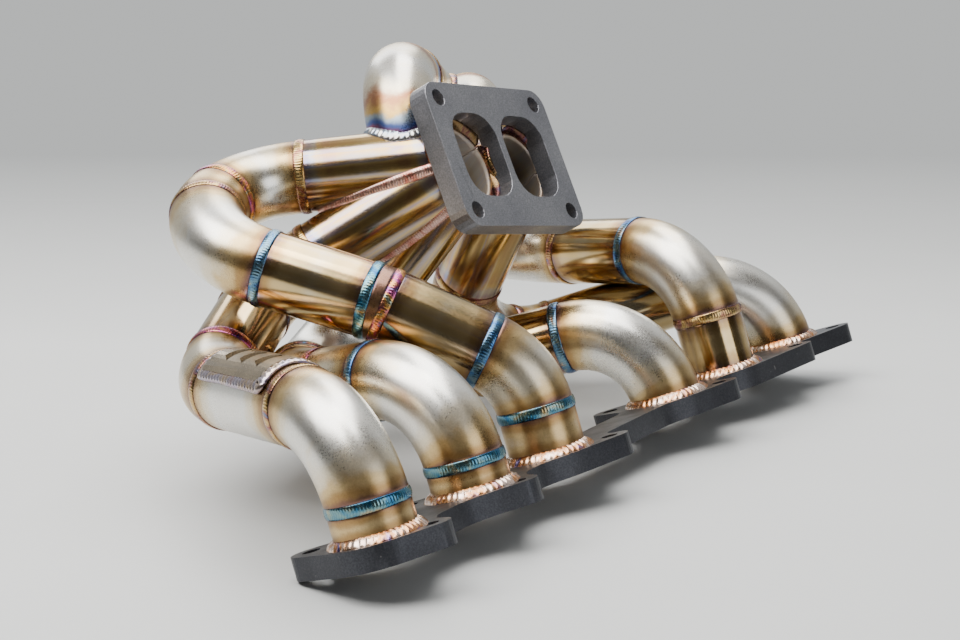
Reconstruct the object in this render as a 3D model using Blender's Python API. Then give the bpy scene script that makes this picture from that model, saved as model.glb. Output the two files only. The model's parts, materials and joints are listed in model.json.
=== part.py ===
"""Twin-scroll tubular exhaust manifold for an inline six-cylinder engine.

Frame: +X runs along the head flange from port 1 to port 6, +Z is the head flange's normal,
and +Y points to the back, where the runners turn round. Z = 0 is the sealing face, and the
origin is on the port line, midway between ports 1 and 6.

Each runner is a bending sheet: straight lengths and weld elbows, one after another. An elbow
has a bend angle and a roll, the turn of its bend plane about the tube. The last elbow of each
runner has neither: it aims the collector leg at the merge point of its turbo port.
"""

import math

import bmesh
import bpy
from mathutils import Matrix, Vector

MM = 0.001
GAP = 0.3 * MM

# Tube: 1 1/4 inch schedule 10 stainless weld fittings
TUBE_R = 21.1 * MM
BORE_R = 18.3 * MM
ELBOW_R = 50 * MM
SIDES = 18
DEGREES_A_STEP = 15

# Head flange
FLANGE_T = 12 * MM
PORT_X = [x * MM for x in (0, 85, 161.5, 300, 376, 462.5)]
NEAR_STUD_X = [x * MM for x in (8, 88.5, 184.5, 320, 429.5, 490)]
NEAR_STUD_Y = -26 * MM
FAR_STUD_DX = -8.5 * MM
FAR_STUD_Y = 35 * MM
EAR_R = 10.5 * MM
PAD_R = 27.5 * MM
WEB_HALF = 15 * MM
WAIST_BLEND = 12 * MM
OUTLINE_STEP = 2.2 * MM
STUD_R = 4.75 * MM
MID_X = (PORT_X[0] + PORT_X[-1]) / 2

# Turbo flange, the common divided pattern with 94 x 70 mm studs
TURBO_CENTRE = Vector((262.5 * MM, 38 * MM, 175.5 * MM))
TURBO_LIFT = math.radians(11)
TURBO_ROLL = math.radians(-9.7)
TURBO_T = 12.7 * MM
TURBO_W = 117 * MM
TURBO_H = 90 * MM
TURBO_CORNER = 11 * MM
TURBO_STUD_X = 47 * MM
TURBO_STUD_Y = 35 * MM
TURBO_STUD_R = 5.2 * MM
SCROLL_W = 41.5 * MM
SCROLL_H = 52.5 * MM
SCROLL_CORNER = 15 * MM
SCROLL_X = 23.5 * MM
MERGE_DEPTH = 6 * MM

# Wastegate pipes and their V-band rings
GATE_LEFT = {"along": 0.63, "aside": 6, "lift": 0, "lead": 4, "turn": 24, "bend": 105, "run": 100}
GATE_RIGHT = {"along": 0.5, "aside": 6, "lift": 3, "lead": 0, "turn": 34, "bend": 98, "run": 44}
BAND_R = 28 * MM
BAND_LIP_R = 24.5 * MM
BAND_T = 11 * MM

# Name saddle, a rolled plate with three slots on runner 1
SADDLE_LENGTH = 68 * MM
SADDLE_T = 2.2 * MM
SADDLE_ARC = math.radians(84)
SADDLE_TURN = math.radians(-2)
SLOT_PITCH = 18 * MM

# A cutter this wide clears a pipe's corners however its flats are turned
CLEAR_R = (TUBE_R + GAP) / math.cos(math.pi / SIDES)

UP = Vector((0, 0, 1))
ORIGIN = Vector((MID_X, 0, 0))

STEEL = (0.62, 0.58, 0.50)
GOLD_STEEL = (0.55, 0.44, 0.28)
DARK_STEEL = (0.10, 0.10, 0.11)
PLATE_STEEL = (0.30, 0.30, 0.32)


def clear_scene():
    for obj in list(bpy.data.objects):
        bpy.data.objects.remove(obj, do_unlink=True)


def material(name, colour, roughness):
    made = bpy.data.materials.new(name)
    made.use_nodes = True
    shader = made.node_tree.nodes["Principled BSDF"]
    shader.inputs["Base Color"].default_value = (*colour, 1)
    shader.inputs["Roughness"].default_value = roughness
    shader.inputs["Metallic"].default_value = 1
    return made


def add_object(name, mesh, look=None):
    obj = bpy.data.objects.new(name, mesh)
    bpy.context.scene.collection.objects.link(obj)
    if look:
        mesh.materials.append(look)
    return obj


def mesh_from(name, points, faces):
    """A closed mesh with its faces turned outward, placed from the object's origin."""
    mesh = bpy.data.meshes.new(name)
    mesh.from_pydata([Vector(point) - ORIGIN for point in points], [], faces)
    work = bmesh.new()
    work.from_mesh(mesh)
    bmesh.ops.recalc_face_normals(work, faces=work.faces)
    work.to_mesh(mesh)
    work.free()
    mesh.shade_smooth()
    mesh.set_sharp_from_angle(angle=math.radians(35))
    return mesh


def cutter(name, mesh):
    obj = add_object(name, mesh)
    obj.hide_render = True
    obj.display_type = "WIRE"
    return obj


def boolean(obj, tool, operation="DIFFERENCE"):
    step = obj.modifiers.new(tool.name, "BOOLEAN")
    step.operation = operation
    step.object = tool
    step.solver = "EXACT"


def across(direction):
    """Two unit vectors square to a direction and to each other."""
    helper = UP if abs(direction.z) < 0.9 else Vector((1, 0, 0))
    first = direction.cross(helper).normalized()
    return first, direction.cross(first).normalized()


def ring(centre, direction, radius, start=None, sides=SIDES):
    """Points of a circle square to a direction, the first one towards start."""
    first = start or across(direction)[0]
    second = direction.cross(first).normalized()
    turns = (2 * math.pi * step / sides for step in range(sides))
    return [centre + radius * (math.cos(a) * first + math.sin(a) * second) for a in turns]


def loft(name, loops, closed=False):
    """Skins a list of equal loops, and caps the ends unless the list closes on itself."""
    sides = len(loops[0])
    points = [point for loop in loops for point in loop]
    faces = []
    for row in range(len(loops) if closed else len(loops) - 1):
        after = (row + 1) % len(loops)
        for side in range(sides):
            nearby = (side + 1) % sides
            faces.append(
                (row * sides + side, row * sides + nearby, after * sides + nearby, after * sides + side)
            )
    if not closed:
        faces.append(tuple(range(sides)))
        faces.append(tuple(range(len(points) - sides, len(points))))
    return mesh_from(name, points, faces)


def tube_mesh(name, stations, start, outer=TUBE_R, inner=BORE_R):
    """A pipe wall along stations of (centre, direction): outside there, inside back."""
    side = start
    outside = []
    inside = []
    for centre, direction in stations:
        side = (side - side.dot(direction) * direction).normalized()
        outside.append(ring(centre, direction, outer, side))
        inside.append(ring(centre, direction, inner, side))
    return loft(name, outside + inside[::-1], closed=True)


def rod_mesh(name, start, end, radius, sides=SIDES):
    direction = (end - start).normalized()
    return loft(name, [ring(start, direction, radius, sides=sides), ring(end, direction, radius, sides=sides)])


def prism_mesh(name, outline, low, high, place=None):
    """An outline in the XY plane, extruded from low to high and then placed."""
    place = place or Matrix.Identity(4)
    loops = [[place @ Vector((x, y, z)) for x, y in outline] for z in (low, high)]
    return loft(name, loops)


def disc(x, y, radius, sides):
    turns = (2 * math.pi * step / sides for step in range(sides))
    return [(x + radius * math.cos(a), y + radius * math.sin(a)) for a in turns]


def taper_distance(point, start, start_radius, end, end_radius):
    """How far a plane point lies outside the taper from one circle to another."""
    span = end - start
    along = span.normalized()
    offset = point - start
    rise = offset.dot(along)
    side = abs(offset.cross(along))
    slope = (start_radius - end_radius) / span.length
    lean = math.sqrt(1 - slope ** 2)
    reach = lean * rise - slope * side
    if reach < 0:
        return offset.length - start_radius
    if reach > lean * span.length:
        return (point - end).length - end_radius
    return lean * side + slope * rise - start_radius


def flange_distance(point):
    """How far a plane point lies outside the head flange, whose pads and web blend smoothly."""
    ends = [Vector((x, 0)) for x in (PORT_X[0], PORT_X[-1])]
    distance = taper_distance(point, ends[0], WEB_HALF, ends[1], WEB_HALF)
    for x, stud_x in zip(PORT_X, NEAR_STUD_X):
        centre = Vector((x, 0))
        ears = (Vector((stud_x, NEAR_STUD_Y)), Vector((x + FAR_STUD_DX, FAR_STUD_Y)))
        pad = min(taper_distance(point, centre, PAD_R, ear, EAR_R) for ear in ears)
        overlap = max(WAIST_BLEND - abs(distance - pad), 0) / WAIST_BLEND
        distance = min(distance, pad) - WAIST_BLEND * overlap ** 2 / 4
    return distance


def flange_slope(point):
    probe = 0.05 * MM
    pairs = [(point + step, point - step) for step in (Vector((probe, 0)), Vector((0, probe)))]
    return Vector([(flange_distance(a) - flange_distance(b)) / (2 * probe) for a, b in pairs])


def flange_outline():
    """The head flange's edge, walked anticlockwise in short steps from beside port 1."""
    def settle(point):
        for _ in range(4):
            slope = flange_slope(point)
            point = point - slope * (flange_distance(point) / slope.length_squared)
        return point

    outline = [settle(Vector((PORT_X[0] - PAD_R, 0)))]
    while len(outline) < 4 or (outline[-1] - outline[0]).length > OUTLINE_STEP:
        slope = flange_slope(outline[-1]).normalized()
        onward = Vector((-slope.y, slope.x))
        outline.append(settle(outline[-1] + OUTLINE_STEP * onward))
    return [(point.x, point.y) for point in outline]


def rounded_rectangle(width, height, corner, steps, middle=0):
    outline = []
    for quarter, (sx, sy) in enumerate(((1, 1), (-1, 1), (-1, -1), (1, -1))):
        x = middle + sx * (width / 2 - corner)
        y = sy * (height / 2 - corner)
        for step in range(steps + 1):
            angle = math.pi / 2 * (quarter + step / steps)
            outline.append((x + corner * math.cos(angle), y + corner * math.sin(angle)))
    return outline


def half_space(name, point, direction, size=0.5):
    """A hidden block whose face passes through a point and that fills the side ahead of it."""
    first, second = across(direction)
    corners = ((1, 1), (-1, 1), (-1, -1), (1, -1))
    face = [point + size * (a * first + b * second) for a, b in corners]
    return cutter(name, loft(name, [face, [corner + size * direction for corner in face]]))


class Runner:
    """Walks one runner's centre line from its port, and makes a tube for each length or elbow."""

    def __init__(self, number, look):
        self.number = number
        self.point = Vector((PORT_X[number - 1], 0, FLANGE_T + GAP / 2))
        self.heading = UP.copy()
        self.side = Vector((0, 1, 0))
        self.look = look
        self.path = []

    def straight(self, name, length, look=None):
        start = self.point
        self.point = start + length * self.heading
        trim = GAP / 2 * self.heading
        stations = [(start + trim, self.heading.copy()), (self.point - trim, self.heading.copy())]
        self.path += stations
        return add_object(name, tube_mesh(name, stations, self.side), look or self.look)

    def elbow(self, name, angle, roll, radius=ELBOW_R):
        turned = Matrix.Rotation(math.radians(roll), 3, self.heading) @ self.side
        return self.turn(name, math.radians(angle), turned, radius)

    def aim(self, name, target, radius=ELBOW_R):
        """An elbow whose outlet looks straight at the target."""
        offset = target - self.point
        ahead = offset.dot(self.heading)
        sideways = offset - ahead * self.heading
        drop = radius - sideways.length
        reach = math.hypot(ahead, drop)
        angle = (math.atan2(ahead, drop) - math.acos(radius / reach)) % (2 * math.pi)
        return self.turn(name, angle, sideways.normalized(), radius)

    def turn(self, name, angle, inward, radius, lead=0):
        """A weld elbow, with a straight lead-in if one is given."""
        stations = [(self.point.copy(), self.heading.copy())] if lead else []
        self.point = self.point + lead * self.heading
        centre = self.point + radius * inward
        trim = GAP / 2 / radius
        steps = max(2, round(math.degrees(angle) / DEGREES_A_STEP))
        for step in range(steps + 1):
            a = trim + (angle - 2 * trim) * step / steps
            place = centre + radius * (math.sin(a) * self.heading - math.cos(a) * inward)
            stations.append((place, math.cos(a) * self.heading + math.sin(a) * inward))
        start = inward.copy()
        self.path += stations
        self.point = centre + radius * (math.sin(angle) * self.heading - math.cos(angle) * inward)
        self.side = math.cos(angle) * inward - math.sin(angle) * self.heading
        self.heading = math.cos(angle) * self.heading + math.sin(angle) * inward
        return add_object(name, tube_mesh(name, stations, start), self.look)

    def leg(self, target):
        """The collector leg, from the last elbow to the target. It is cut to shape later."""
        self.leg_start = self.point.copy()
        length = (target - self.point).length + 20 * MM
        self.leg_tube = self.straight(f"collector_leg_{self.number}", length)


def turbo_axes():
    """The turbo flange's own X, Y and outward normal."""
    normal = Vector((0, -math.cos(TURBO_LIFT), math.sin(TURBO_LIFT)))
    flat = Vector((1, 0, 0))
    x_axis = Matrix.Rotation(TURBO_ROLL, 3, normal) @ flat
    return x_axis, normal.cross(x_axis), normal


def make_runners(steel, gold, merge_left, merge_right):
    runners = {}

    one = Runner(1, steel)
    one.straight("stub_1", 17 * MM)
    one.elbow("port_elbow_1", 80.5, -27)
    one.badge_start = one.point.copy()
    one.straight("link_1", 91.5 * MM)
    one.badge_end = one.point.copy()
    one.badge_axis = one.heading.copy()
    one.elbow("rear_elbow_1", 51.5, -112.5)
    one.straight("long_link_1", 50.8 * MM, gold)
    one.aim("collector_elbow_1", merge_left)
    runners[1] = one

    two = Runner(2, steel)
    two.straight("stub_2", 15.5 * MM)
    two.elbow("port_elbow_2", 86.5, -10.5)
    two.straight("link_2", 41 * MM)
    two.elbow("rear_elbow_2", 44.2, -95.7)
    two.straight("long_link_2", 12 * MM, gold)
    two.elbow("rear_wedge_2", 16.8, 119)
    two.aim("collector_elbow_2", merge_left)
    runners[2] = two

    three = Runner(3, steel)
    three.straight("stub_3", 25 * MM)
    three.elbow("port_elbow_3", 50, 33)
    three.straight("link_3", 58 * MM, gold)
    three.elbow("wedge_3", 10.5, -44.5)
    three.straight("long_link_3", 59.5 * MM, gold)
    three.elbow("rear_elbow_3", 76, -71)
    three.elbow("rear_wedge_3", 25.5, -5.5)
    three.aim("collector_elbow_3", merge_left)
    runners[3] = three

    four = Runner(4, steel)
    four.elbow("port_elbow_4", 90.5, 19)
    four.straight("link_4", 55.9 * MM, gold)
    four.elbow("rear_wedge_4", 12.5, -176)
    four.straight("long_link_4", 18 * MM, gold)
    four.elbow("rear_elbow_4", 80, -3.3)
    four.aim("collector_elbow_4", merge_right)
    runners[4] = four

    five = Runner(5, steel)
    five.straight("stub_5", 35.5 * MM, gold)
    five.elbow("port_elbow_5", 80.5, -15)
    five.straight("link_5", 61.3 * MM, gold)
    five.elbow("rear_elbow_5", 94.1, 111.1)
    five.aim("collector_elbow_5", merge_right)
    runners[5] = five

    six = Runner(6, steel)
    six.elbow("port_elbow_6", 91.5, 36.5)
    six.straight("link_6", 91.1 * MM, gold)
    six.elbow("rear_elbow_6", 34, 133.6)
    six.aim("collector_elbow_6", merge_right)
    runners[6] = six
    return runners


def cut_collector(group, target, away, x_axis, normal):
    """Trims the legs where they meet each other, the flange's back and the other collector."""
    back_point = TURBO_CENTRE - (TURBO_T + GAP) * normal
    flange_side = half_space(f"cut_back_{away:+d}", back_point, normal)
    middle_point = TURBO_CENTRE - away * GAP / 2 * x_axis
    middle_side = half_space(f"cut_middle_{away:+d}", middle_point, away * x_axis)
    for runner in group:
        boolean(runner.leg_tube, flange_side)
        boolean(runner.leg_tube, middle_side)
        for other in group:
            if other is runner:
                continue
            seam = (runner.heading - other.heading).normalized()
            name = f"cut_seam_{runner.number}_{other.number}"
            block = half_space(name, target - GAP / 2 * seam, seam)
            boolean(runner.leg_tube, block)


def make_gate(side, sheet, runner, beside, merge, steel):
    """A wastegate pipe that rises from a collector leg and turns towards the back."""
    aside = (merge - runner.leg_start).cross(UP).normalized()
    if aside.x < 0:
        aside = -aside
    start = runner.leg_start.lerp(merge, sheet["along"])
    start += sheet["aside"] * MM * aside + sheet["lift"] * MM * UP
    gate = Runner(0, steel)
    gate.point = start.copy()
    turn = math.radians(sheet["turn"])
    back = Vector((math.cos(turn), math.sin(turn), 0))
    lead = sheet["lead"] * MM
    elbow = gate.turn(f"wastegate_elbow_{side}", math.radians(sheet["bend"]), back, ELBOW_R, lead)
    for leg in [runner, *beside]:
        name = f"cut_saddle_{leg.number}"
        boolean(elbow, cutter(name, rod_mesh(name, leg.leg_start, leg.point, CLEAR_R)))
    mouth = rod_mesh(f"cut_mouth_{side}", start, start + 30 * MM * UP, BORE_R - 2 * MM)
    boolean(runner.leg_tube, cutter(f"cut_mouth_{side}", mouth))
    pipe = gate.straight(f"wastegate_pipe_{side}", sheet["run"] * MM)
    return gate, elbow, pipe


def join_gates(left, right):
    """Lands the left wastegate pipe on the side of the right one."""
    left_gate, _, left_pipe = left
    right_gate, right_elbow, right_pipe = right
    skin = [ring(centre, direction, CLEAR_R) for centre, direction in right_gate.path]
    boolean(left_pipe, cutter("cut_tee_skin", loft("cut_tee_skin", skin)))
    end = left_gate.point
    mouth = rod_mesh("cut_tee_mouth", end - 40 * MM * left_gate.heading, end, BORE_R - 2 * MM)
    tool = cutter("cut_tee_mouth", mouth)
    boolean(right_elbow, tool)
    boolean(right_pipe, tool)


def add_band(name, gate, ring_steel):
    """The V-band ring on the end of a wastegate pipe, with its tapered lip."""
    axis = gate.heading
    start = gate.point + GAP / 2 * axis
    profile = ((0, TUBE_R), (0.3, BAND_LIP_R), (0.62, BAND_R), (1, BAND_R))
    outside = [(start + BAND_T * share * axis, radius) for share, radius in profile]
    loops = [ring(centre, axis, radius, gate.side) for centre, radius in outside]
    loops += [ring(centre, axis, BORE_R, gate.side) for centre in (start + BAND_T * axis, start)]
    add_object(name, loft(name, loops, closed=True), ring_steel)


def make_head_flange(look):
    low, high = 0, FLANGE_T
    flange = add_object("head_flange", prism_mesh("head_flange", flange_outline(), low, high), look)
    for port, (x, stud_x) in enumerate(zip(PORT_X, NEAR_STUD_X), 1):
        holes = {
            "bore": (x, 0, BORE_R, SIDES),
            "near_stud": (stud_x, NEAR_STUD_Y, STUD_R, 12),
            "far_stud": (x + FAR_STUD_DX, FAR_STUD_Y, STUD_R, 12),
        }
        for kind, (hole_x, hole_y, radius, sides) in holes.items():
            name = f"cut_{kind}_{port}"
            outline = disc(hole_x, hole_y, radius, sides)
            boolean(flange, cutter(name, prism_mesh(name, outline, low - MM, high + MM)))


def make_turbo_flange(look, x_axis, y_axis, normal):
    place = Matrix.Translation(TURBO_CENTRE) @ Matrix((x_axis, y_axis, normal)).transposed().to_4x4()
    plate = prism_mesh(
        "turbo_flange", rounded_rectangle(TURBO_W, TURBO_H, TURBO_CORNER, 5), -TURBO_T, 0, place
    )
    flange = add_object("turbo_flange", plate, look)
    cuts = {}
    for side in (-1, 1):
        opening = rounded_rectangle(SCROLL_W, SCROLL_H, SCROLL_CORNER, 5, side * SCROLL_X)
        cuts[f"cut_scroll_{side:+d}"] = opening
        for rise in (-1, 1):
            stud = disc(side * TURBO_STUD_X, rise * TURBO_STUD_Y, TURBO_STUD_R, 14)
            cuts[f"cut_turbo_stud_{side:+d}_{rise:+d}"] = stud
    for name, outline in cuts.items():
        boolean(flange, cutter(name, prism_mesh(name, outline, -TURBO_T - MM, MM, place)))


def saddle_point(middle, axis, first, second, along, angle, radius):
    turned = math.cos(angle) * first + math.sin(angle) * second
    return middle + along * axis + radius * turned


def make_name_saddle(look, runner):
    """A rolled plate on runner 1 with three plain slots in it."""
    axis = runner.badge_axis
    middle = (runner.badge_start + runner.badge_end) / 2
    first = (UP - UP.dot(axis) * axis).normalized()
    second = axis.cross(first).normalized()
    inner = TUBE_R + GAP
    outer = inner + SADDLE_T
    loops = []
    for along in (-SADDLE_LENGTH / 2, SADDLE_LENGTH / 2):
        loop = []
        for radius, order in ((inner, range(13)), (outer, range(12, -1, -1))):
            for step in order:
                angle = SADDLE_TURN - SADDLE_ARC / 2 + SADDLE_ARC * step / 12
                loop.append(saddle_point(middle, axis, first, second, along, angle, radius))
        loops.append(loop)
    saddle = add_object("name_saddle", loft("name_saddle", loops), look)
    for slot in (-1, 0, 1):
        loops = []
        for radius in (inner - 2 * MM, outer + 2 * MM):
            loop = []
            for along, angle in ((-5, 0.24), (3, 0.38), (5, -0.24), (-3, -0.38)):
                place = slot * SLOT_PITCH + along * MM
                loop.append(saddle_point(middle, axis, first, second, place, SADDLE_TURN + angle, radius))
            loops.append(loop)
        name = f"cut_slot_{slot:+d}"
        boolean(saddle, cutter(name, loft(name, loops)))


def main():
    clear_scene()
    steel = material("satin_stainless", STEEL, 0.34)
    gold = material("heat_tinted_stainless", GOLD_STEEL, 0.26)
    dark = material("dark_plate_steel", DARK_STEEL, 0.5)
    plate = material("satin_plate_steel", PLATE_STEEL, 0.45)

    x_axis, y_axis, normal = turbo_axes()
    merge = {
        side: TURBO_CENTRE + side * SCROLL_X * x_axis - MERGE_DEPTH * normal for side in (-1, 1)
    }
    make_head_flange(dark)
    make_turbo_flange(plate, x_axis, y_axis, normal)
    runners = make_runners(steel, gold, merge[-1], merge[1])
    for side, numbers in ((-1, (1, 2, 3)), (1, (4, 5, 6))):
        group = [runners[number] for number in numbers]
        for runner in group:
            runner.leg(merge[side])
        cut_collector(group, merge[side], -side, x_axis, normal)

    left = make_gate("left", GATE_LEFT, runners[3], [], merge[-1], steel)
    right = make_gate("right", GATE_RIGHT, runners[5], [runners[4]], merge[1], steel)
    join_gates(left, right)
    add_band("wastegate_ring", right[0], plate)
    make_name_saddle(steel, runners[1])


main()
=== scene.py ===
import json
import math

import bmesh
import bpy
import numpy as np
from mathutils import Matrix, Vector

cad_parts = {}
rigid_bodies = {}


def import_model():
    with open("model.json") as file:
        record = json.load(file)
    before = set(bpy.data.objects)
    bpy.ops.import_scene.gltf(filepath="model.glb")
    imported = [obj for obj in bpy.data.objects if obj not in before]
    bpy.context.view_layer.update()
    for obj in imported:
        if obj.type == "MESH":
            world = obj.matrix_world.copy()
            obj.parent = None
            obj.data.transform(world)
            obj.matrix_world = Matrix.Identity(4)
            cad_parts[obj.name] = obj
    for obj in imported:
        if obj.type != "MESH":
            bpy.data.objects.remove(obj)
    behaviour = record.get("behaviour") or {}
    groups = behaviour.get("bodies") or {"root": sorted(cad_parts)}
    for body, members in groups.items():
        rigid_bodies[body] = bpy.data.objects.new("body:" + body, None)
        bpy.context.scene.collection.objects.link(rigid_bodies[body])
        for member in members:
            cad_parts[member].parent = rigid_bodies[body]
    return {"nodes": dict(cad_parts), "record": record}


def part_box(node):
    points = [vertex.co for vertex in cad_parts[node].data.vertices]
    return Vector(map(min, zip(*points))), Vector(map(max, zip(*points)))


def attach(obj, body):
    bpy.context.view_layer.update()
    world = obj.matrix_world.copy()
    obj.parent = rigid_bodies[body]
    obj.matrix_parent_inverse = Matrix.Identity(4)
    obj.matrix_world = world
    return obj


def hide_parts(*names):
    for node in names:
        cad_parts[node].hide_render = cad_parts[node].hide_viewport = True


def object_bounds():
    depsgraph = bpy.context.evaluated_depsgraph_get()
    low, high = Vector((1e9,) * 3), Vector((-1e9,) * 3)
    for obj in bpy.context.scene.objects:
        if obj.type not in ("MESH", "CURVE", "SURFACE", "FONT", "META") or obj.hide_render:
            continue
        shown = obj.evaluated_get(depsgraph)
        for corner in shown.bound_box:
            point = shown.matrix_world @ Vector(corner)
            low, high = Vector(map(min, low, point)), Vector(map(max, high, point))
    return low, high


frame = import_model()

cad_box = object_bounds()

MM = 0.001
BOX_MARGIN = 0.02 * MM
BOX_LOW = np.array(cad_box[0]) + BOX_MARGIN
BOX_HIGH = np.array(cad_box[1]) - BOX_MARGIN

GAP = 0.3 * MM
TUBE_R = 21.05 * MM
BORE_R = 18.3 * MM
ELBOW_R = 50 * MM
FLANGE_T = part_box("head_flange")[1].z
SIDES = 72  # round a tube
ROW = 3 * MM  # between a tube's rings of points
ELBOW_STEPS = 60
RING_STEPS = 240  # round a ring of weld
BEAD_SIDES = 14  # round a bead
RIPPLE_STEPS = 6  # along each ripple of a bead
BEAD_ROOT = 1.2 * MM  # how far a bead sinks into the metal
WELD_REACH = 200 * MM  # where no weld is near
FAR = 9.0  # farther than any plane
PARALLEL = 1e-6
LINE_STEPS = 60  # along a tube, in a test of what is inside it
END_SLACK = 0.02  # of its length, past a tube's ends
SEARCH_STEPS = 500  # along a side of a tube that meets another
SHORTEST_SEAM = 12  # samples
LEG_OVERRUN = 20 * MM
SHARP_ANGLE = math.radians(35)

record = frame["record"]
mounts = {mount["name"]: mount for mount in record["mounts"]}
openings = {
    space["name"]: np.array(space["box_m"], float) for space in record["physics"]["openings"]
}
PORTS = [openings[f"head_port_{n}"].mean(0) * (1, 1, 0) for n in range(1, 7)]
TURBO_CENTRE = np.array(mounts["turbo_face"]["pos_m"], float)
TURBO_NORMAL = np.array(mounts["turbo_face"]["axis"], float)
TURBO_ROLL = math.radians(-9.7)
TURBO_T = 12.7 * MM
SCROLL_X = 23.5 * MM
MERGE_DEPTH = 6 * MM
SADDLE_LENGTH = 68 * MM
SADDLE_ARC = math.radians(84)
SADDLE_TURN = math.radians(-2)
UP = np.array((0.0, 0, 1))


# ---------------------------------------------------------------- centre lines


def unit(v):
    return v / np.linalg.norm(v, axis=-1, keepdims=True)


def circle(count):
    return np.linspace(0, 2 * math.pi, count, endpoint=False)


def sampled(values, s, want):
    """Rows of three numbers kept at distances s, read at the distances wanted."""
    return np.stack([np.interp(want, s, values[:, k]) for k in range(3)], -1)


def rotate(v, axis, angle):
    return (
        v * math.cos(angle)
        + np.cross(axis, v) * math.sin(angle)
        + axis * np.dot(axis, v) * (1 - math.cos(angle))
    )


class Line:
    """A tube's centre line as dense samples: distance, place, direction and a side vector."""

    def __init__(self, places, headings, side):
        self.at = np.array(places)
        self.to = np.array(headings)
        steps = np.linalg.norm(np.diff(self.at, axis=0), axis=1)
        self.s = np.concatenate([[0], np.cumsum(steps)])
        sides = []
        for heading in self.to:
            side = unit(side - np.dot(side, heading) * heading)
            sides.append(side)
        self.side = np.array(sides)

    @property
    def length(self):
        return self.s[-1]

    def frame(self, s):
        """Place, direction, side and second side at distances s, any shape of array."""
        at, to, side = (sampled(values, self.s, s) for values in (self.at, self.to, self.side))
        to = unit(to)
        side = unit(side - (side * to).sum(-1, keepdims=True) * to)
        return at, to, side, np.cross(to, side)

    def skin(self, s, turn, radius):
        at, _, side, second = self.frame(s)
        out = np.cos(turn)[..., None] * side + np.sin(turn)[..., None] * second
        return at + radius * out


class Walk:
    """Follows one runner from its port, as the CAD source does."""

    def __init__(self, point):
        self.point = np.array(point, float)
        self.heading = UP.copy()
        self.side = np.array((0.0, 1, 0))
        self.tubes = {}

    def straight(self, name, length):
        start = self.point
        self.point = start + length * self.heading
        ends = [start + share * length * self.heading for share in (0, 0.5, 1)]
        self.keep(name, ends, [self.heading] * 3)

    def elbow(self, name, angle, roll):
        turned = rotate(self.side, self.heading, math.radians(roll))
        self.turn(name, math.radians(angle), turned)

    def aim(self, name, target):
        offset = target - self.point
        ahead = offset @ self.heading
        sideways = offset - ahead * self.heading
        drop = ELBOW_R - np.linalg.norm(sideways)
        angle = math.atan2(ahead, drop) - math.acos(ELBOW_R / math.hypot(ahead, drop))
        self.turn(name, angle % (2 * math.pi), unit(sideways))

    def turn(self, name, angle, inward, lead=0.0):
        places = [self.point] if lead else []
        headings = [self.heading] if lead else []
        self.point = self.point + lead * self.heading
        centre = self.point + ELBOW_R * inward
        for step in range(ELBOW_STEPS + 1):
            a = angle * step / ELBOW_STEPS
            places.append(centre + ELBOW_R * (math.sin(a) * self.heading - math.cos(a) * inward))
            headings.append(math.cos(a) * self.heading + math.sin(a) * inward)
        self.side = math.cos(angle) * inward - math.sin(angle) * self.heading
        self.heading = headings[-1]
        self.point = places[-1]
        self.keep(name, places, headings)

    def keep(self, name, places, headings):
        side = self.side - np.dot(self.side, headings[0]) * headings[0]
        if np.linalg.norm(side) < 0.1:
            side = np.cross(headings[0], UP + 0.3)
        self.tubes[name] = Line(places, headings, unit(side))

    def leg(self, name, target):
        self.straight(name, np.linalg.norm(target - self.point) + LEG_OVERRUN)


X_AXIS = unit(rotate(np.array((1.0, 0, 0)), TURBO_NORMAL, TURBO_ROLL))
MERGE = {
    side: TURBO_CENTRE + side * SCROLL_X * X_AXIS - MERGE_DEPTH * TURBO_NORMAL for side in (-1, 1)
}

# Each runner from its port up: a straight has its length, an elbow its angle and its roll.
SHEETS = {
    1: (
        ("stub_1", 17),
        ("port_elbow_1", 80.5, -27),
        ("link_1", 91.5),
        ("rear_elbow_1", 51.5, -112.5),
        ("long_link_1", 50.8),
    ),
    2: (
        ("stub_2", 15.5),
        ("port_elbow_2", 86.5, -10.5),
        ("link_2", 41),
        ("rear_elbow_2", 44.2, -95.7),
        ("long_link_2", 12),
        ("rear_wedge_2", 16.8, 119),
    ),
    3: (
        ("stub_3", 25),
        ("port_elbow_3", 50, 33),
        ("link_3", 58),
        ("wedge_3", 10.5, -44.5),
        ("long_link_3", 59.5),
        ("rear_elbow_3", 76, -71),
        ("rear_wedge_3", 25.5, -5.5),
    ),
    4: (
        ("port_elbow_4", 90.5, 19),
        ("link_4", 55.9),
        ("rear_wedge_4", 12.5, -176),
        ("long_link_4", 18),
        ("rear_elbow_4", 80, -3.3),
    ),
    5: (
        ("stub_5", 35.5),
        ("port_elbow_5", 80.5, -15),
        ("link_5", 61.3),
        ("rear_elbow_5", 94.1, 111.1),
    ),
    6: (
        ("port_elbow_6", 91.5, 36.5),
        ("link_6", 91.1),
        ("rear_elbow_6", 34, 133.6),
    ),
}


def walk_runner(number):
    walk = Walk(PORTS[number - 1] + (0, 0, FLANGE_T))
    for row in SHEETS[number]:
        if len(row) == 2:
            walk.straight(row[0], row[1] * MM)
        else:
            walk.elbow(*row)
    target = MERGE[-1 if number < 4 else 1]
    walk.aim(f"collector_elbow_{number}", target)
    walk.leg(f"collector_leg_{number}", target)
    return walk


RUNNERS = {number: walk_runner(number) for number in SHEETS}
LEGS = {number: walk.tubes[f"collector_leg_{number}"] for number, walk in RUNNERS.items()}
SIDE_OF = {number: -1 if number < 4 else 1 for number in RUNNERS}


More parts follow.
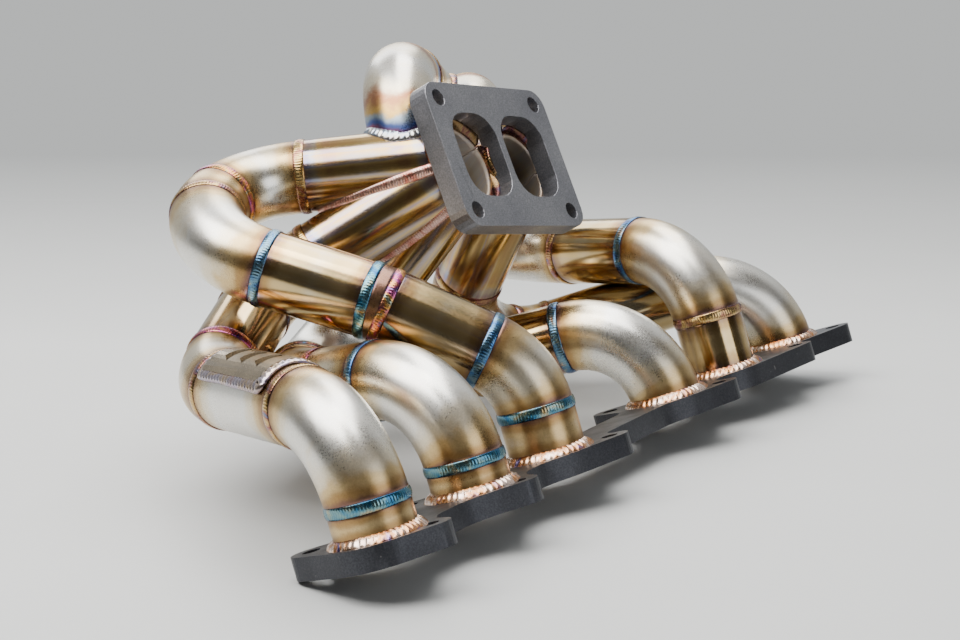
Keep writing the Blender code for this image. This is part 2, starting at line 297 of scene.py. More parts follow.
def walk_gate(side, leg, along, aside, lift, lead, turn, bend, run):
    """A wastegate elbow that rises from a leg, and the pipe after it."""
    start = LEGS[leg].at[0]
    merge = MERGE[SIDE_OF[leg]]
    across = unit(np.cross(merge - start, UP))
    across *= math.copysign(1, across[0])
    gate = Walk(start + (merge - start) * along + aside * MM * across + lift * MM * UP)
    back = np.array((math.cos(math.radians(turn)), math.sin(math.radians(turn)), 0))
    gate.side = back
    gate.turn(f"wastegate_elbow_{side}", math.radians(bend), back, lead * MM)
    gate.straight(f"wastegate_pipe_{side}", run * MM)
    return gate


GATE_LEFT = walk_gate("left", 3, along=0.63, aside=6, lift=0, lead=4, turn=24, bend=105, run=100)
GATE_RIGHT = walk_gate("right", 5, along=0.5, aside=6, lift=3, lead=0, turn=34, bend=98, run=44)


# ---------------------------------------------------------------- meshes


def mesh_object(name, points, faces, values=None):
    """A smooth mesh object, with float values kept on its points."""
    mesh = bpy.data.meshes.new(name)
    corners = faces.tolist() if isinstance(faces, np.ndarray) else faces
    mesh.from_pydata(np.asarray(points, float).tolist(), [], corners)
    mesh.update()
    for key, numbers in (values or {}).items():
        layer = mesh.attributes.new(key, "FLOAT", "POINT")
        layer.data.foreach_set("value", np.asarray(numbers, np.float32).ravel())
    mesh.shade_smooth()
    obj = bpy.data.objects.new(name, mesh)
    bpy.context.scene.collection.objects.link(obj)
    return obj


def grid_faces(rows, columns, start=0, flip=False):
    """Quads of a grid that closes round its columns."""
    r = np.arange(rows - 1)[:, None]
    c = np.arange(columns)[None]
    after = (c + 1) % columns
    low, high = r * columns, (r + 1) * columns
    quads = np.stack([low + c, low + after, high + after, high + c], -1)
    quads = quads.reshape(-1, 4) + start
    return quads[:, ::-1] if flip else quads


def reflection_band_pattern(name, s, turn):
    """Painted reflection: bands that run along a tube and wander a little round it, light and
    dark like the room's reflections on a straight tube.
    """
    seed = len(name)
    wander = 0.35 * smooth_noise(s * 0.5, seed) + 0.12 * np.sin(2 * turn + s * 20)
    return 0.5 + 0.45 * smooth_noise(turn / 9, seed * 3 + s[0, 0]) + 0.3 * wander


def tube_object(name, line, first=None, last=None):
    """A pipe wall whose ends may follow a curve: first and last give each side's distance."""
    turn = circle(SIDES)
    rows = max(4, int(line.length / ROW))
    share = np.linspace(0, 1, rows)[:, None]
    points = []
    weld = []
    reflection_band = []
    for radius in (TUBE_R, BORE_R):
        low = first(radius, turn) if first else np.full(SIDES, GAP / 2)
        high = last(radius, turn) if last else np.full(SIDES, line.length - GAP / 2)
        s = low + (high - low) * share
        points.append(line.skin(s, np.broadcast_to(turn, s.shape), radius).reshape(-1, 3))
        weld.append(np.minimum(WELD_REACH, np.minimum(s - low, high - s)).ravel())
        # Painted reflection bands, kept on the points for the material.
        reflection_band.append(reflection_band_pattern(name, s, turn).ravel())
    count = rows * SIDES
    faces = [grid_faces(rows, SIDES, 0), grid_faces(rows, SIDES, count, flip=True)]
    c = np.arange(SIDES)
    after = (c + 1) % SIDES
    faces.append(np.stack([c + count, after + count, after, c], -1))
    top = (rows - 1) * SIDES
    faces.append(np.stack([c + top, after + top, after + count + top, c + count + top], -1))
    values = {
        "weld": np.concatenate(weld),
        "inside": np.repeat((0.0, 1.0), count),
        "reflection_band": np.concatenate(reflection_band),
    }
    boxed = np.clip(np.concatenate(points), BOX_LOW, BOX_HIGH)
    return mesh_object(name, boxed, np.concatenate(faces), values)


def smooth_noise(s, seed, waves=((31, 1.0), (87, 0.6), (190, 0.35))):
    """A repeatable wobble along a length, between about -1 and 1."""
    total = 0
    for order, (rate, size) in enumerate(waves):
        shift = seed * 1.7 + order * 2.1 + np.sin(seed + order) * 3
        total = total + size * np.sin(rate * s + shift)
    return total / sum(size for _, size in waves)


def bead_object(name, curve, out, width, height, closed=True, pitch=1.6 * MM, seed=0, rough=0.0):
    """A weld bead of overlapping ripples along a curve. out points away from the metal."""
    curve = np.asarray(curve, float)
    out = np.asarray(out, float)
    if closed:
        curve = np.concatenate([curve, curve[:1]])
        out = np.concatenate([out, out[:1]])
    steps = np.linalg.norm(np.diff(curve, axis=0), axis=1)
    s = np.concatenate([[0], np.cumsum(steps)])
    total = s[-1]
    ripples = max(1, round(total / pitch))
    rows = ripples * RIPPLE_STEPS + (0 if closed else 1)
    want = np.linspace(0, total, rows, endpoint=not closed)
    place = sampled(curve, s, want)
    up = unit(sampled(out, s, want))
    if closed:
        along = np.roll(place, -1, 0) - np.roll(place, 1, 0)
    else:
        along = np.gradient(place, axis=0)
    across = unit(np.cross(unit(along), up))
    angle = circle(BEAD_SIDES)[None]
    lateral = np.cos(angle)
    rise = np.sin(angle)
    phase = (want / total * ripples)[:, None] + 0.75 * lateral**2
    tooth = phase - np.floor(phase)
    ripple = np.clip(1 - tooth, 0, 1) * np.clip(tooth * 7, 0, 1)
    jitter = smooth_noise(want, seed)[:, None]
    wide = width * (1 + (0.05 + rough) * jitter)
    tall = height * (0.72 + 0.36 * ripple) * (1 + rough * jitter)
    root = np.full_like(ripple, min(height, BEAD_ROOT))
    lift = np.where(rise > 0, tall, root) * rise
    if not closed:
        ends = np.clip(np.minimum(want, total - want) / width, 0.05, 1)[:, None] ** 0.5
        wide = wide * ends
        lift = lift * ends
    points = (
        place[:, None]
        + (wide * lateral)[..., None] * across[:, None]
        + lift[..., None] * up[:, None]
    )
    if closed:
        faces = grid_faces(rows + 1, BEAD_SIDES) % (rows * BEAD_SIDES)
    else:
        faces = grid_faces(rows, BEAD_SIDES).tolist()
        faces.append(list(range(BEAD_SIDES)))
        faces.append(list(range((rows - 1) * BEAD_SIDES, rows * BEAD_SIDES))[::-1])
    boxed = np.clip(points.reshape(-1, 3), BOX_LOW, BOX_HIGH)
    crown = np.broadcast_to(np.clip(rise, 0, 1), ripple.shape)
    return mesh_object(name, boxed, faces, {"crown": crown, "ripple": ripple})


def outward(obj):
    """Turns a closed mesh's faces outward."""
    work = bmesh.new()
    work.from_mesh(obj.data)
    bmesh.ops.recalc_face_normals(work, faces=work.faces)
    work.to_mesh(obj.data)
    work.free()
    obj.data.shade_smooth()
    return obj


# ---------------------------------------------------------------- materials


class Nodes:
    """A short way to write a node material."""

    def __init__(self, name):
        self.material = bpy.data.materials.new(name)
        self.material.use_nodes = True
        self.tree = self.material.node_tree
        self.shader = self.tree.nodes["Principled BSDF"]

    def add(self, kind, inputs=None, **settings):
        node = self.tree.nodes.new(kind)
        for key, value in settings.items():
            setattr(node, key, value)
        for key, value in (inputs or {}).items():
            self.put(node.inputs[key], value)
        return node

    def put(self, socket, value):
        if isinstance(value, bpy.types.NodeSocket):
            self.tree.links.new(value, socket)
        else:
            socket.default_value = value

    def math(self, operation, a, b, clamp=False):
        node = self.add("ShaderNodeMath", {0: a, 1: b}, operation=operation, use_clamp=clamp)
        return node.outputs[0]

    def noise(self, scale, detail=3.0, rough=0.55, distortion=0.0):
        place = self.add("ShaderNodeTexCoord").outputs["Object"]
        inputs = {"Vector": place, "Scale": scale, "Detail": detail}
        inputs |= {"Roughness": rough, "Distortion": distortion}
        return self.add("ShaderNodeTexNoise", inputs).outputs["Fac"]

    def value(self, key):
        return self.add("ShaderNodeAttribute", attribute_name=key).outputs["Fac"]

    def spread(self, value, low, high, to_low=0.0, to_high=1.0):
        inputs = {"Value": value, "From Min": low, "From Max": high}
        inputs |= {"To Min": to_low, "To Max": to_high}
        return self.add("ShaderNodeMapRange", inputs).outputs["Result"]

    def wander(self, scale, detail, low, high):
        """Noise whose usual range is spread over low to high."""
        return self.spread(self.noise(scale, detail), *NOISE_RANGE, low, high)

    def ramp(self, value, stops, mode="LINEAR"):
        node = self.add("ShaderNodeValToRGB", {"Fac": value})
        node.color_ramp.interpolation = mode
        bar = node.color_ramp.elements
        while len(bar) < len(stops):
            bar.new(0.5)
        for element, (place, colour) in zip(bar, stops):
            element.position = place
            element.color = (*colour, 1)
        return node.outputs["Color"]

    def mix(self, share, a, b, mode="MIX"):
        node = self.add("ShaderNodeMix", data_type="RGBA", blend_type=mode)
        self.put(node.inputs["Factor"], share)
        for socket, colour in (("A", a), ("B", b)):
            linked = isinstance(colour, bpy.types.NodeSocket)
            self.put(node.inputs[socket], colour if linked else (*colour, 1))
        return node.outputs["Result"]

    def bump(self, height, strength, distance, before=None):
        inputs = {"Height": height, "Strength": strength, "Distance": distance}
        node = self.add("ShaderNodeBump", inputs)
        if before:
            self.put(node.inputs["Normal"], before)
        return node.outputs["Normal"]

    def finish(self, colour, roughness, normal=None, metallic=1.0):
        self.put(self.shader.inputs["Base Color"], colour)
        self.put(self.shader.inputs["Roughness"], roughness)
        self.put(self.shader.inputs["Metallic"], metallic)
        if normal:
            self.put(self.shader.inputs["Normal"], normal)
        return self.material


NOISE_RANGE = (0.3, 0.7)

# Colours of the metal from a weld outward, each at its share of the tint's reach.
HEAT = (
    (0.0, (0.05, 0.04, 0.05)),
    (0.04, (0.11, 0.09, 0.17)),
    (0.09, (0.20, 0.11, 0.08)),
    (0.18, (0.36, 0.22, 0.09)),
    (0.34, (0.60, 0.44, 0.22)),
)
VIVID_HEAT = (
    (0.0, (0.55, 0.34, 0.30)),
    (0.05, (0.34, 0.13, 0.22)),
    (0.11, (0.10, 0.15, 0.42)),
    (0.19, (0.34, 0.42, 0.50)),
    (0.27, (0.62, 0.40, 0.13)),
    (0.38, (0.40, 0.19, 0.10)),
)
# Painted reflection: light and dark bands along straight tubes, in the heat tint's shades, which
# stand in for the room's reflections.
REFLECTION_BAND_COLOURS = (
    (0.10, (0.36, 0.20, 0.09)),
    (0.28, (0.60, 0.42, 0.16)),
    (0.40, (0.70, 0.60, 0.38)),
    (0.50, (0.54, 0.36, 0.20)),
    (0.58, (0.33, 0.32, 0.42)),
    (0.68, (0.66, 0.48, 0.20)),
    (0.90, (0.42, 0.25, 0.11)),
)


def tube_material(name, base, straw, roughness, blasted, reach, heat=HEAT, painted_reflection=0.0):
    """Stainless tube with heat tint that fades away from each weld over reach metres, and painted
    reflection bands along it where asked.
    """
    n = Nodes(name)
    ragged = n.wander(45, 4, 0.72, 1.3)
    share = n.math("MULTIPLY", n.math("DIVIDE", n.value("weld"), reach), ragged)
    share = n.math("ADD", share, n.wander(70, 3, -0.03, 0.03), clamp=True)
    tint = n.ramp(share, heat + ((0.6, straw), (1.0, base)), "EASE")
    # Painted reflection: bands along the tube are mixed into the colour.
    if painted_reflection:
        lines = n.math("ADD", n.value("reflection_band"), n.wander(25, 3, -0.08, 0.08))
        tint = n.mix(painted_reflection, tint, n.ramp(lines, REFLECTION_BAND_COLOURS))
    patches = n.ramp(
        n.noise(16, 3), ((0.3, (0.88, 0.83, 0.75)), (0.5, (1, 1, 1)), (0.75, (1.04, 1.0, 0.94)))
    )
    colour = n.mix(0.7, tint, patches, "MULTIPLY")
    speckle = n.noise(1100, 2, 0.6)
    fleck = n.ramp(
        speckle, ((0.34, (0.86, 0.85, 0.83)), (0.52, (1, 1, 1)), (0.70, (1.14, 1.14, 1.14)))
    )
    colour = n.mix(blasted, colour, fleck, "MULTIPLY")
    inside = n.value("inside")
    colour = n.mix(n.math("MULTIPLY", inside, 0.8), colour, (0.34, 0.30, 0.25))
    grain = n.spread(speckle, *NOISE_RANGE, -0.03, 0.03)
    rough = n.math("ADD", n.wander(30, 4, -0.05, 0.06), grain)
    rough = n.math("ADD", rough, roughness, clamp=True)
    rough = n.math("MAXIMUM", rough, n.math("MULTIPLY", inside, 0.5))
    fine = n.bump(speckle, 0.10 + 0.2 * blasted, 0.05 * MM)
    wavy = n.bump(n.noise(120, 2), 0.10, 0.2 * MM, fine)
    metallic = n.spread(inside, 0.0, 1.0, 1.0, 0.35)
    return n.finish(colour, rough, wavy, metallic)


def bead_material(name, colours, roughness=0.22):
    """Weld metal: patches of temper colours, darker in the ripples' hollows and at the toes."""
    n = Nodes(name)
    patch = n.noise(85, 4, 0.6, 0.8)
    stops = [(0.28 + 0.44 * k / (len(colours) - 1), colour) for k, colour in enumerate(colours)]
    colour = n.ramp(patch, stops)
    crown = n.value("crown")
    toe = n.ramp(crown, ((0.0, (0.12, 0.10, 0.16)), (0.35, (0.55, 0.5, 0.6)), (0.8, (1, 1, 1))))
    colour = n.mix(0.85, colour, toe, "MULTIPLY")
    lines = n.ramp(n.value("ripple"), ((0.0, (0.45, 0.42, 0.45)), (0.4, (1, 1, 1))))
    colour = n.mix(0.8, colour, lines, "MULTIPLY")
    rough = n.math("ADD", n.wander(400, 3, -0.05, 0.08), roughness, clamp=True)
    return n.finish(colour, rough, n.bump(n.noise(900, 3), 0.2, 0.08 * MM))


def plate_material(name, base, worn, roughness, metallic):
    """Flat plate steel with mill grain, faint scuffs and small pale wear spots."""
    n = Nodes(name)
    cloud = n.ramp(n.noise(22, 5, 0.6), ((0.3, (0.82, 0.82, 0.84)), (0.7, (1.15, 1.14, 1.12))))
    colour = n.mix(1.0, base, cloud, "MULTIPLY")
    grain = n.noise(1100, 3, 0.65)
    fleck = n.ramp(
        grain, ((0.36, (0.72, 0.72, 0.73)), (0.52, (1, 1, 1)), (0.75, (1.45, 1.43, 1.4)))
    )
    colour = n.mix(0.8, colour, fleck, "MULTIPLY")
    spots = n.spread(n.noise(260, 2, 0.5, 0.4), 0.74, 0.80)
    colour = n.mix(n.math("MULTIPLY", spots, 0.5), colour, worn)
    rough = n.math("ADD", n.wander(60, 4, -0.08, 0.08), roughness, clamp=True)
    scratches = n.bump(n.noise(500, 4, 0.7), 0.12, 0.1 * MM)
    fine = n.bump(grain, 0.22, 0.08 * MM, scratches)
    return n.finish(colour, rough, fine, metallic)


SATIN = tube_material(
    "satin_blasted_steel",
    base=(0.79, 0.775, 0.73),
    straw=(0.73, 0.65, 0.50),
    roughness=0.30,
    blasted=0.6,
    reach=28 * MM,
)
GOLDEN = tube_material(
    "golden_drawn_steel",
    base=(0.55, 0.475, 0.33),
    straw=(0.53, 0.40, 0.20),
    roughness=0.15,
    blasted=0.12,
    reach=38 * MM,
    # Share of painted reflection bands along the tube.
    painted_reflection=0.18,
)
VIVID = tube_material(
    "vivid_tinted_steel",
    base=(0.50, 0.38, 0.17),
    straw=(0.48, 0.32, 0.11),
    roughness=0.17,
    blasted=0.1,
    reach=45 * MM,
    heat=VIVID_HEAT,
    # Share of painted reflection bands along the tube.
    painted_reflection=0.65,
)
VIVID_SATIN = tube_material(
    "vivid_satin_steel",
    base=(0.78, 0.765, 0.725),
    straw=(0.74, 0.66, 0.51),
    roughness=0.29,
    blasted=0.5,
    reach=40 * MM,
    heat=VIVID_HEAT,
)
TEMPER = {
    "teal": ((0.03, 0.06, 0.22), (0.05, 0.19, 0.31), (0.17, 0.30, 0.30), (0.52, 0.34, 0.12)),
    "blue": ((0.06, 0.05, 0.18), (0.05, 0.14, 0.30), (0.15, 0.26, 0.32), (0.46, 0.26, 0.12)),
    "gold": ((0.55, 0.30, 0.08), (0.62, 0.44, 0.18), (0.32, 0.12, 0.10), (0.08, 0.22, 0.34)),
    "copper": ((0.70, 0.46, 0.34), (0.80, 0.66, 0.58), (0.60, 0.28, 0.10), (0.20, 0.18, 0.45)),
    "silver": ((0.62, 0.60, 0.58), (0.36, 0.42, 0.52), (0.70, 0.66, 0.60), (0.30, 0.22, 0.32)),
    "rose": ((0.66, 0.34, 0.30), (0.76, 0.50, 0.42), (0.56, 0.20, 0.14), (0.30, 0.14, 0.30)),
    "petal": ((0.60, 0.42, 0.40), (0.50, 0.46, 0.55), (0.66, 0.50, 0.34), (0.30, 0.30, 0.50)),
    "rainbow": ((0.05, 0.20, 0.40), (0.42, 0.08, 0.24), (0.68, 0.34, 0.07), (0.08, 0.32, 0.32)),
}
BEADS = {name: bead_material(f"temper_{name}", colours) for name, colours in TEMPER.items()}
DARK_PLATE = plate_material("dark_plate", (0.050, 0.052, 0.060), (0.30, 0.29, 0.28), 0.42, 0.8)
GREY_PLATE = plate_material("grey_plate", (0.245, 0.248, 0.270), (0.50, 0.49, 0.48), 0.42, 0.9)
SADDLE_PLATE = plate_material("saddle_plate", (0.36, 0.29, 0.20), (0.20, 0.13, 0.10), 0.28, 1.0)

SLOT_LOOK = {"satin_stainless": SATIN, "heat_tinted_stainless": GOLDEN}
SLOT_OF = {row["node"]: row["material_slot"] for row in record["subparts"]}


# ---------------------------------------------------------------- tubes


def place_tube(node, line, look=None, **settings):
    piece = outward(tube_object(f"{node}_pipe", line, **settings))
    piece.data.materials.append(look or SLOT_LOOK[SLOT_OF[node]])
    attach(piece, "root")
    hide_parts(node)


def place_bead(name, curve, out, look, **settings):
    piece = outward(bead_object(name, curve, out, **settings))
    piece.data.materials.append(BEADS[look])
    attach(piece, "root")


def ring_bead(name, line, look, seed):
    """The bead round a tube's far end."""
    s = np.full(RING_STEPS, line.length)
    curve = line.skin(s, circle(RING_STEPS), TUBE_R)
    out = curve - line.frame(s)[0]
    place_bead(name, curve, out, look, width=3.0 * MM, height=0.8 * MM, seed=seed)


def plane_ends(number, radius, turn):
    """How far each side of a leg runs before the first of the planes that trim it."""
    line = LEGS[number]
    side = SIDE_OF[number]
    base = line.skin(np.zeros(len(turn)), turn, radius)
    heading = line.to[0]
    planes = {
        "flange": (TURBO_CENTRE - (TURBO_T + GAP) * TURBO_NORMAL, TURBO_NORMAL),
        "middle": (TURBO_CENTRE + side * GAP / 2 * X_AXIS, -side * X_AXIS),
    }
    for other, leg in LEGS.items():
        if other != number and SIDE_OF[other] == side:
            seam = unit(heading - leg.to[0])
            planes[other] = (MERGE[side] - GAP / 2 * seam, seam)
    runs = []
    for point, normal in planes.values():
        speed = heading @ normal
        crosses = speed > PARALLEL
        runs.append(((point - base) @ normal) / speed if crosses else np.full(len(turn), FAR))
    runs = np.array(runs)
    return np.clip(runs.min(0), 1 * MM, line.length), runs.argmin(0), list(planes)


def inside_lines(points, lines, radius):
    """True where a point lies inside any of the tubes and not past their ends."""
    hit = np.zeros(points.shape[:-1], bool)
    for line in lines:
        places, headings, _, _ = line.frame(np.linspace(0, line.length, LINE_STEPS))
        nearest = np.linalg.norm(points[..., None, :] - places, axis=-1).argmin(-1)
        offset = points - places[nearest]
        to = headings[nearest]
        along = (offset * to).sum(-1, keepdims=True)
        beside = np.abs(along[..., 0]) < line.length * END_SLACK
        hit |= beside & (np.linalg.norm(offset - along * to, axis=-1) < radius)
    return hit


def search(line, lines, radius, turn, share):
    """Distances along a tube's sides, and where they are inside the other tubes."""
    s = np.linspace(0, line.length * share, SEARCH_STEPS)[:, None] + np.zeros(len(turn))
    points = line.skin(s, np.broadcast_to(turn, s.shape), radius)
    return s, inside_lines(points, lines, TUBE_R + GAP)


def saddle_start(line, lines):
    """Where each side of a tube comes out of the tubes it stands on."""

    def first(radius, turn):
        s, buried = search(line, lines, radius, turn, 0.95)
        last_in = len(s) - 1 - buried[::-1].argmax(0)
        last_in = np.where(buried.any(0), last_in, 0)
        return s[np.minimum(last_in + 1, len(s) - 1), np.arange(len(turn))]

    return first


def saddle_end(line, lines):
    """Where each side of a tube runs into another tube."""

    def last(radius, turn):
        s, buried = search(line, lines, radius, turn, 1)
        first_in = np.where(buried.any(0), buried.argmax(0), len(s) - 1)
        return s[first_in, np.arange(len(turn))]

    return last


def away_from(points, line):
    """Directions from a tube's centre line out to places on it."""
    s = np.linspace(0, line.length, 200)
    places = line.frame(s)[0]
    nearest = np.linalg.norm(points[:, None] - places, axis=-1).argmin(1)
    at, to, _, _ = line.frame(s[nearest])
    offset = points - at
    return unit(offset - (offset * to).sum(-1, keepdims=True) * to)


# The temper colour of the bead at each piece's far end, where it isn't gold.
RING_LOOKS = {
    "stub_1": "teal",
    "rear_elbow_1": "rainbow",
    "stub_2": "teal",
    "port_elbow_2": "blue",
    "link_2": "rainbow",
    "stub_3": "teal",
    "port_elbow_3": "blue",
    "link_3": "rainbow",
    "wedge_3": "teal",
    "long_link_3": "blue",
    "rear_wedge_3": "rainbow",
    "port_elbow_4": "blue",
    "port_elbow_5": "blue",
}

for number, walk in RUNNERS.items():
    for order, (name, line) in enumerate(walk.tubes.items()):
        if not name.startswith("collector_leg"):
            place_tube(name, line)
            look = RING_LOOKS.get(name, "gold")
            ring_bead(f"bead_{name}", line, look, seed=number * 7 + order)

for number, line in LEGS.items():
    node = f"collector_leg_{number}"
    place_tube(node, line, VIVID, last=lambda *side, leg=number: plane_ends(leg, *side)[0])


def fillet_at_flange(number):
    """The head flange's fillet weld round one tube."""
    turn = circle(RING_STEPS)
    radius = TUBE_R + 1.2 * MM + 0.5 * MM * smooth_noise(turn * 0.12, number * 3.3)
    out = np.stack([np.cos(turn), np.sin(turn), np.zeros(RING_STEPS)], -1)
    place_bead(
        f"fillet_port_{number}",
        PORTS[number - 1] + out * radius[:, None] + UP * (FLANGE_T + 0.8 * MM),
        out + UP,
        "copper",
        width=4.2 * MM,
        height=2.3 * MM,
        pitch=3.2 * MM,
        seed=number,
        rough=0.16,
    )


for number in RUNNERS:
    fillet_at_flange(number)


def runs_of(mask):
    """Index ranges of the true stretches of a ring of flags."""
    if mask.all():
        return [np.arange(len(mask))]
    shift = int(np.argmin(mask))
    rolled = np.roll(mask, -shift)
    found = []
    start = None
    for k, flag in enumerate(np.append(rolled, False)):
        if flag and start is None:
            start = k
        if not flag and start is not None:
            found.append((np.arange(start, k) + shift) % len(mask))
            start = None
    return found


FLANGE_BEAD_SHIFT = 1.6 * MM
SEAM_BEADS = {
    "flange": {"look": "gold", "width": 4.0 * MM, "height": 2.0 * MM, "rough": 0.15},
    "middle": {"look": "rainbow", "width": 3.4 * MM, "height": 1.6 * MM, "rough": 0.12},
    "leg": {"look": "rose", "width": 3.8 * MM, "height": 2.0 * MM, "rough": 0.12},
}


def collector_beads(number):
    """Beads along the seams between this leg and later ones, and round its end at the flange."""
    turn = circle(3 * RING_STEPS)
    distance, which, names = plane_ends(number, TUBE_R, turn)
    line = LEGS[number]
    points = line.skin(distance, turn, TUBE_R)
    own = unit(points - line.frame(distance)[0])
    for k, name in enumerate(names):
        if name not in SEAM_BEADS and name < number:
            continue
        for order, part in enumerate(runs_of(which == k)):
            if len(part) < SHORTEST_SEAM:
                continue
            curve = points[part]
            if name == "flange":
                curve = curve + FLANGE_BEAD_SHIFT * own[part]
                out = own[part] - 0.6 * TURBO_NORMAL
            elif name == "middle":
                out = own[part] + SIDE_OF[number] * 0.2 * X_AXIS
            else:
                out = own[part] + away_from(curve, LEGS[name])
            place_bead(
                f"seam_{number}_{name}_{order}",
                curve,
                out,
                closed=len(part) == len(turn),
                seed=number * 5 + k,
                **SEAM_BEADS.get(name, SEAM_BEADS["leg"]),
            )


for number in LEGS:
    collector_beads(number)


# ---------------------------------------------------------------- wastegate pipes


left_elbow = GATE_LEFT.tubes["wastegate_elbow_left"]
left_pipe = GATE_LEFT.tubes["wastegate_pipe_left"]
right_elbow = GATE_RIGHT.tubes["wastegate_elbow_right"]
right_pipe = GATE_RIGHT.tubes["wastegate_pipe_right"]
left_on = [LEGS[3]]
right_on = [LEGS[5], LEGS[4]]
left_start = saddle_start(left_elbow, left_on)
right_start = saddle_start(right_elbow, right_on)
left_end = saddle_end(left_pipe, [right_elbow, right_pipe])
place_tube("wastegate_elbow_left", left_elbow, VIVID_SATIN, first=left_start)
place_tube("wastegate_elbow_right", right_elbow, VIVID_SATIN, first=right_start)
place_tube("wastegate_pipe_left", left_pipe, last=left_end)
place_tube("wastegate_pipe_right", right_pipe)
ring_bead("bead_wastegate_left", left_elbow, "gold", seed=61)
ring_bead("bead_wastegate_right", right_elbow, "blue", seed=62)


def saddle_bead(name, line, finder, base, look, seed):
    """The bead where a tube meets the side of another, its base."""
    turn = circle(360)
    distance = finder(line, [base])(TUBE_R, turn)
    points = line.skin(distance, turn, TUBE_R)
    out = unit(points - line.frame(distance)[0]) + away_from(points, base)
    size = {"width": 4.2 * MM, "height": 2.2 * MM, "pitch": 3 * MM}
    place_bead(name, points, out, look, seed=seed, rough=0.14, **size)


saddle_bead("saddle_weld_left", left_elbow, saddle_start, LEGS[3], "silver", 71)
saddle_bead("saddle_weld_right", right_elbow, saddle_start, LEGS[5], "blue", 72)
saddle_bead("tee_weld", left_pipe, saddle_end, right_elbow, "gold", 73)


SADDLE_EDGE = 1.5 * MM
LONG_CORNER = 0.97
ARC_CORNER = 0.95


def name_saddle_bead():
    """The rough weld round the edge of the plate on runner 1."""
    line = RUNNERS[1].tubes["link_1"]
    axis = line.to[0]
    middle = line.at[1]
    first = unit(UP - (UP @ axis) * axis)
    second = np.cross(axis, first)
    half_length = SADDLE_LENGTH / 2 + SADDLE_EDGE
    half_arc = SADDLE_ARC / 2 + SADDLE_EDGE / TUBE_R
    lap = circle(2 * RING_STEPS)
    cosine, sine = np.cos(lap), np.sin(lap)
    squareness = np.maximum(np.abs(cosine), np.abs(sine))
    along = np.clip(cosine / squareness, -LONG_CORNER, LONG_CORNER) / LONG_CORNER * half_length
    angle = np.clip(sine / squareness, -ARC_CORNER, ARC_CORNER) / ARC_CORNER * half_arc
    angle += SADDLE_TURN
    out = np.cos(angle)[:, None] * first + np.sin(angle)[:, None] * second
    curve = middle + along[:, None] * axis + (TUBE_R + 0.7 * MM) * out
    size = {"width": 3.6 * MM, "height": 2.0 * MM, "pitch": 3.4 * MM}
    place_bead("saddle_plate_weld", curve, out, "petal", seed=9, rough=0.22, **size)


name_saddle_bead()


# ---------------------------------------------------------------- plates


def dress_plate(node, look, bevel):
    """Shows a CAD plate itself, with its edges rounded over."""
    obj = frame["nodes"][node]
    obj.data.materials.clear()
    obj.data.materials.append(look)
    weld = obj.modifiers.new("weld", "WELD")
    weld.merge_threshold = 0.01 * MM
    round_over = obj.modifiers.new("round", "BEVEL")
    round_over.width = bevel
    round_over.segments = 3
    round_over.limit_method = "ANGLE"
    round_over.angle_limit = SHARP_ANGLE
    round_over.harden_normals = False


dress_plate("head_flange", DARK_PLATE, 0.9 * MM)
dress_plate("turbo_flange", GREY_PLATE, 0.9 * MM)


# The ring's section as steps along its axis and radii, in millimetres.
BAND_PROFILE = (
    (0, 21.1),
    (2.6, 23.9),
    (3.3, 24.5),
    (6.2, 27.4),
    (6.9, 27.9),
    (7.6, 28),
    (10.4, 28),
    (10.85, 27.85),
    (11, 27.4),
    (11, 18.7),
    (10.85, 18.4),
    (10.6, 18.3),
    (0, 18.3),
)
BAND_SIDES = 96


def wastegate_band():
    """The V-band ring on the wastegate outlet, turned smooth."""
    axis = right_pipe.to[-1]
    side = right_pipe.side[-1]
    end = right_pipe.at[-1] + GAP / 2 * axis
    turn = circle(BAND_SIDES)[None, :, None]
    out = np.cos(turn) * side + np.sin(turn) * np.cross(axis, side)
    step, radius = (np.array(BAND_PROFILE).T * MM)[..., None, None]
    points = (end + step * axis + radius * out).reshape(-1, 3)
    faces = grid_faces(len(BAND_PROFILE) + 1, BAND_SIDES) % len(points)
    band = outward(mesh_object("wastegate_band", points, faces))
    band.data.materials.append(GREY_PLATE)
    band.data.set_sharp_from_angle(angle=SHARP_ANGLE)
    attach(band, "root")
    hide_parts("wastegate_ring")


wastegate_band()
dress_plate("name_saddle", SADDLE_PLATE, 0.3 * MM)


# ---------------------------------------------------------------- stage, lights, camera


# The object stands leaning back, so true upright is tilted in its frame. The camera is level.
VIEW = Vector((0.82547, 0.56254, -0.04636)).normalized()
RIGHT = Vector((0.53138, -0.80218, -0.27229)).normalized()
UPRIGHT = Vector((0, RIGHT.z, -RIGHT.y)).normalized()
AHEAD = UPRIGHT.cross(RIGHT).normalized()
CAMERA_PLACE = (-1.02505, -0.63188, 0.14489)
LENS = 79.97
SENSOR = 36
FLOOR_HALF = 4.0
FADE_START, FADE_END = 0.3, 1.2  # depth at which the floor thins out and is gone
LIGHT_TARGET = Vector((0.0, 0.07, 0.1))


def lowest_point():
    """The object's reach along true upright, over all the pieces made so far."""
    low = []
    for obj in bpy.context.scene.objects:
        if obj.type == "MESH" and not obj.hide_render:
            flat = np.empty(len(obj.data.vertices) * 3, np.float32)
            obj.data.vertices.foreach_get("co", flat)
            turn = np.array(obj.matrix_world)
            places = flat.reshape(-1, 3) @ turn[:3, :3].T + turn[:3, 3]
            low.append((places @ np.array(UPRIGHT)).min())
    return float(min(low))


def staged(right, ahead, up):
    """A place in the room, which is level with the camera."""
    return right * RIGHT + ahead * AHEAD + up * UPRIGHT


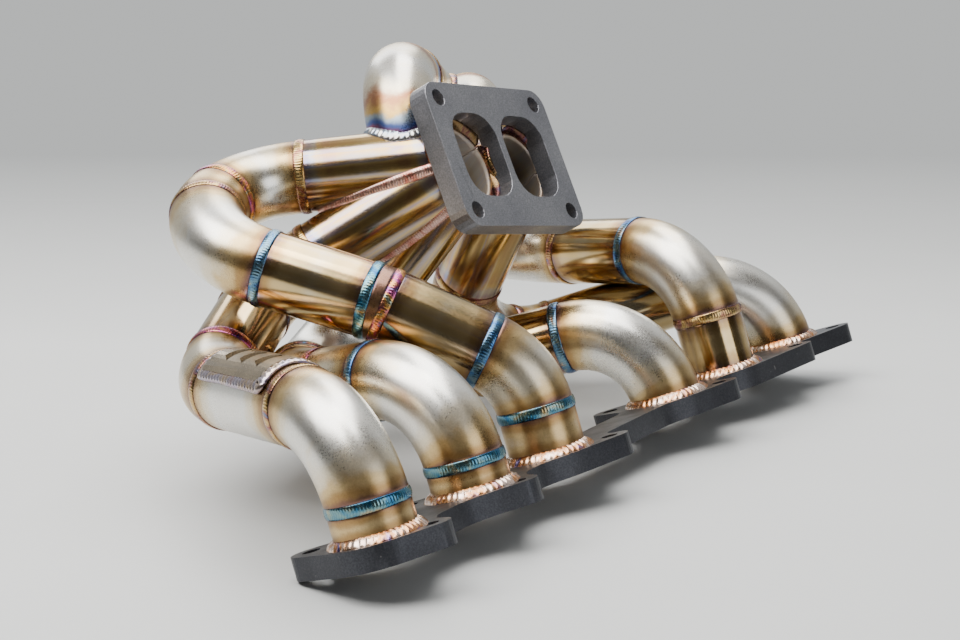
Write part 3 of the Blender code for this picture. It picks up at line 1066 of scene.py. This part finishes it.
def stage_floor():
    """A pale floor under the leaning object, which fades into the backdrop behind it."""
    n = Nodes("pale_floor")
    cloud = n.ramp(n.noise(3, 3), ((0.3, (0.53, 0.54, 0.538)), (0.7, (0.57, 0.58, 0.578))))
    place = n.add("ShaderNodeTexCoord").outputs["Object"]
    dot = n.add("ShaderNodeVectorMath", {0: place, 1: AHEAD}, operation="DOT_PRODUCT")
    look = n.finish(cloud, 0.6, metallic=0.0)
    alpha = n.spread(dot.outputs["Value"], FADE_START, FADE_END, 1.0, 0.0)
    n.put(n.shader.inputs["Alpha"], alpha)
    level = lowest_point() - 0.2 * MM
    corners = ((-1, -1), (1, -1), (1, 1), (-1, 1))
    points = [staged(x * FLOOR_HALF, y * FLOOR_HALF, level) for x, y in corners]
    floor = mesh_object("floor", points, [(0, 1, 2, 3)])
    floor.data.materials.append(look)


def area_light(name, place, size, power, colour):
    data = bpy.data.lights.new(name, "AREA")
    data.shape = "RECTANGLE"
    data.size, data.size_y = size
    data.energy = power
    data.color = colour
    light = bpy.data.objects.new(name, data)
    bpy.context.scene.collection.objects.link(light)
    light.location = place
    light.rotation_euler = (LIGHT_TARGET - place).to_track_quat("-Z", "Y").to_euler()


def make_world():
    """A grey backdrop, brighter overhead and darker behind the camera."""
    world = bpy.data.worlds.new("studio")
    bpy.context.scene.world = world
    world.use_nodes = True
    tree = world.node_tree

    def ramp(source, stops):
        node = tree.nodes.new("ShaderNodeValToRGB")
        tree.links.new(source, node.inputs["Fac"])
        for element, (place, colour) in zip(node.color_ramp.elements, stops):
            element.position = place
            element.color = (*colour, 1)
        return node.outputs["Color"]

    place = tree.nodes.new("ShaderNodeTexCoord").outputs["Generated"]

    def along(direction):
        node = tree.nodes.new("ShaderNodeVectorMath")
        node.operation = "DOT_PRODUCT"
        tree.links.new(place, node.inputs[0])
        node.inputs[1].default_value = direction
        return node.outputs["Value"]

    height = ramp(along(UPRIGHT), ((0.30, (0.405, 0.415, 0.413)), (0.85, (0.62, 0.62, 0.62))))
    dim = ramp(along(AHEAD), ((0.0, (0.13, 0.125, 0.12)), (0.55, (1, 1, 1))))
    both = tree.nodes.new("ShaderNodeMix")
    both.data_type = "RGBA"
    both.blend_type = "MULTIPLY"
    both.inputs["Factor"].default_value = 1
    tree.links.new(height, both.inputs["A"])
    tree.links.new(dim, both.inputs["B"])
    back = tree.nodes["Background"]
    tree.links.new(both.outputs["Result"], back.inputs["Color"])
    back.inputs["Strength"].default_value = 1.5


def make_camera():
    data = bpy.data.cameras.new("camera")
    data.lens = LENS
    data.sensor_width = SENSOR
    data.clip_start = 0.01
    data.clip_end = 100
    camera = bpy.data.objects.new("camera", data)
    bpy.context.scene.collection.objects.link(camera)
    up = RIGHT.cross(VIEW).normalized()
    turn = Matrix((RIGHT, up, -VIEW)).transposed().to_4x4()
    camera.matrix_world = Matrix.Translation(CAMERA_PLACE) @ turn
    bpy.context.scene.camera = camera


stage_floor()
make_world()
area_light("key", staged(-0.85, -0.35, 1.6), (1.5, 1.3), 54, (1.0, 0.985, 0.96))
area_light("top", staged(0.15, 0.35, 1.8), (2.2, 0.8), 40, (1.0, 0.99, 0.97))
area_light("fill", staged(1.3, -1.2, 0.7), (1.2, 1.0), 9, (0.95, 0.97, 1.0))
area_light("back", staged(-0.4, 1.9, 1.2), (1.6, 1.0), 18, (1.0, 1.0, 1.0))
make_camera()
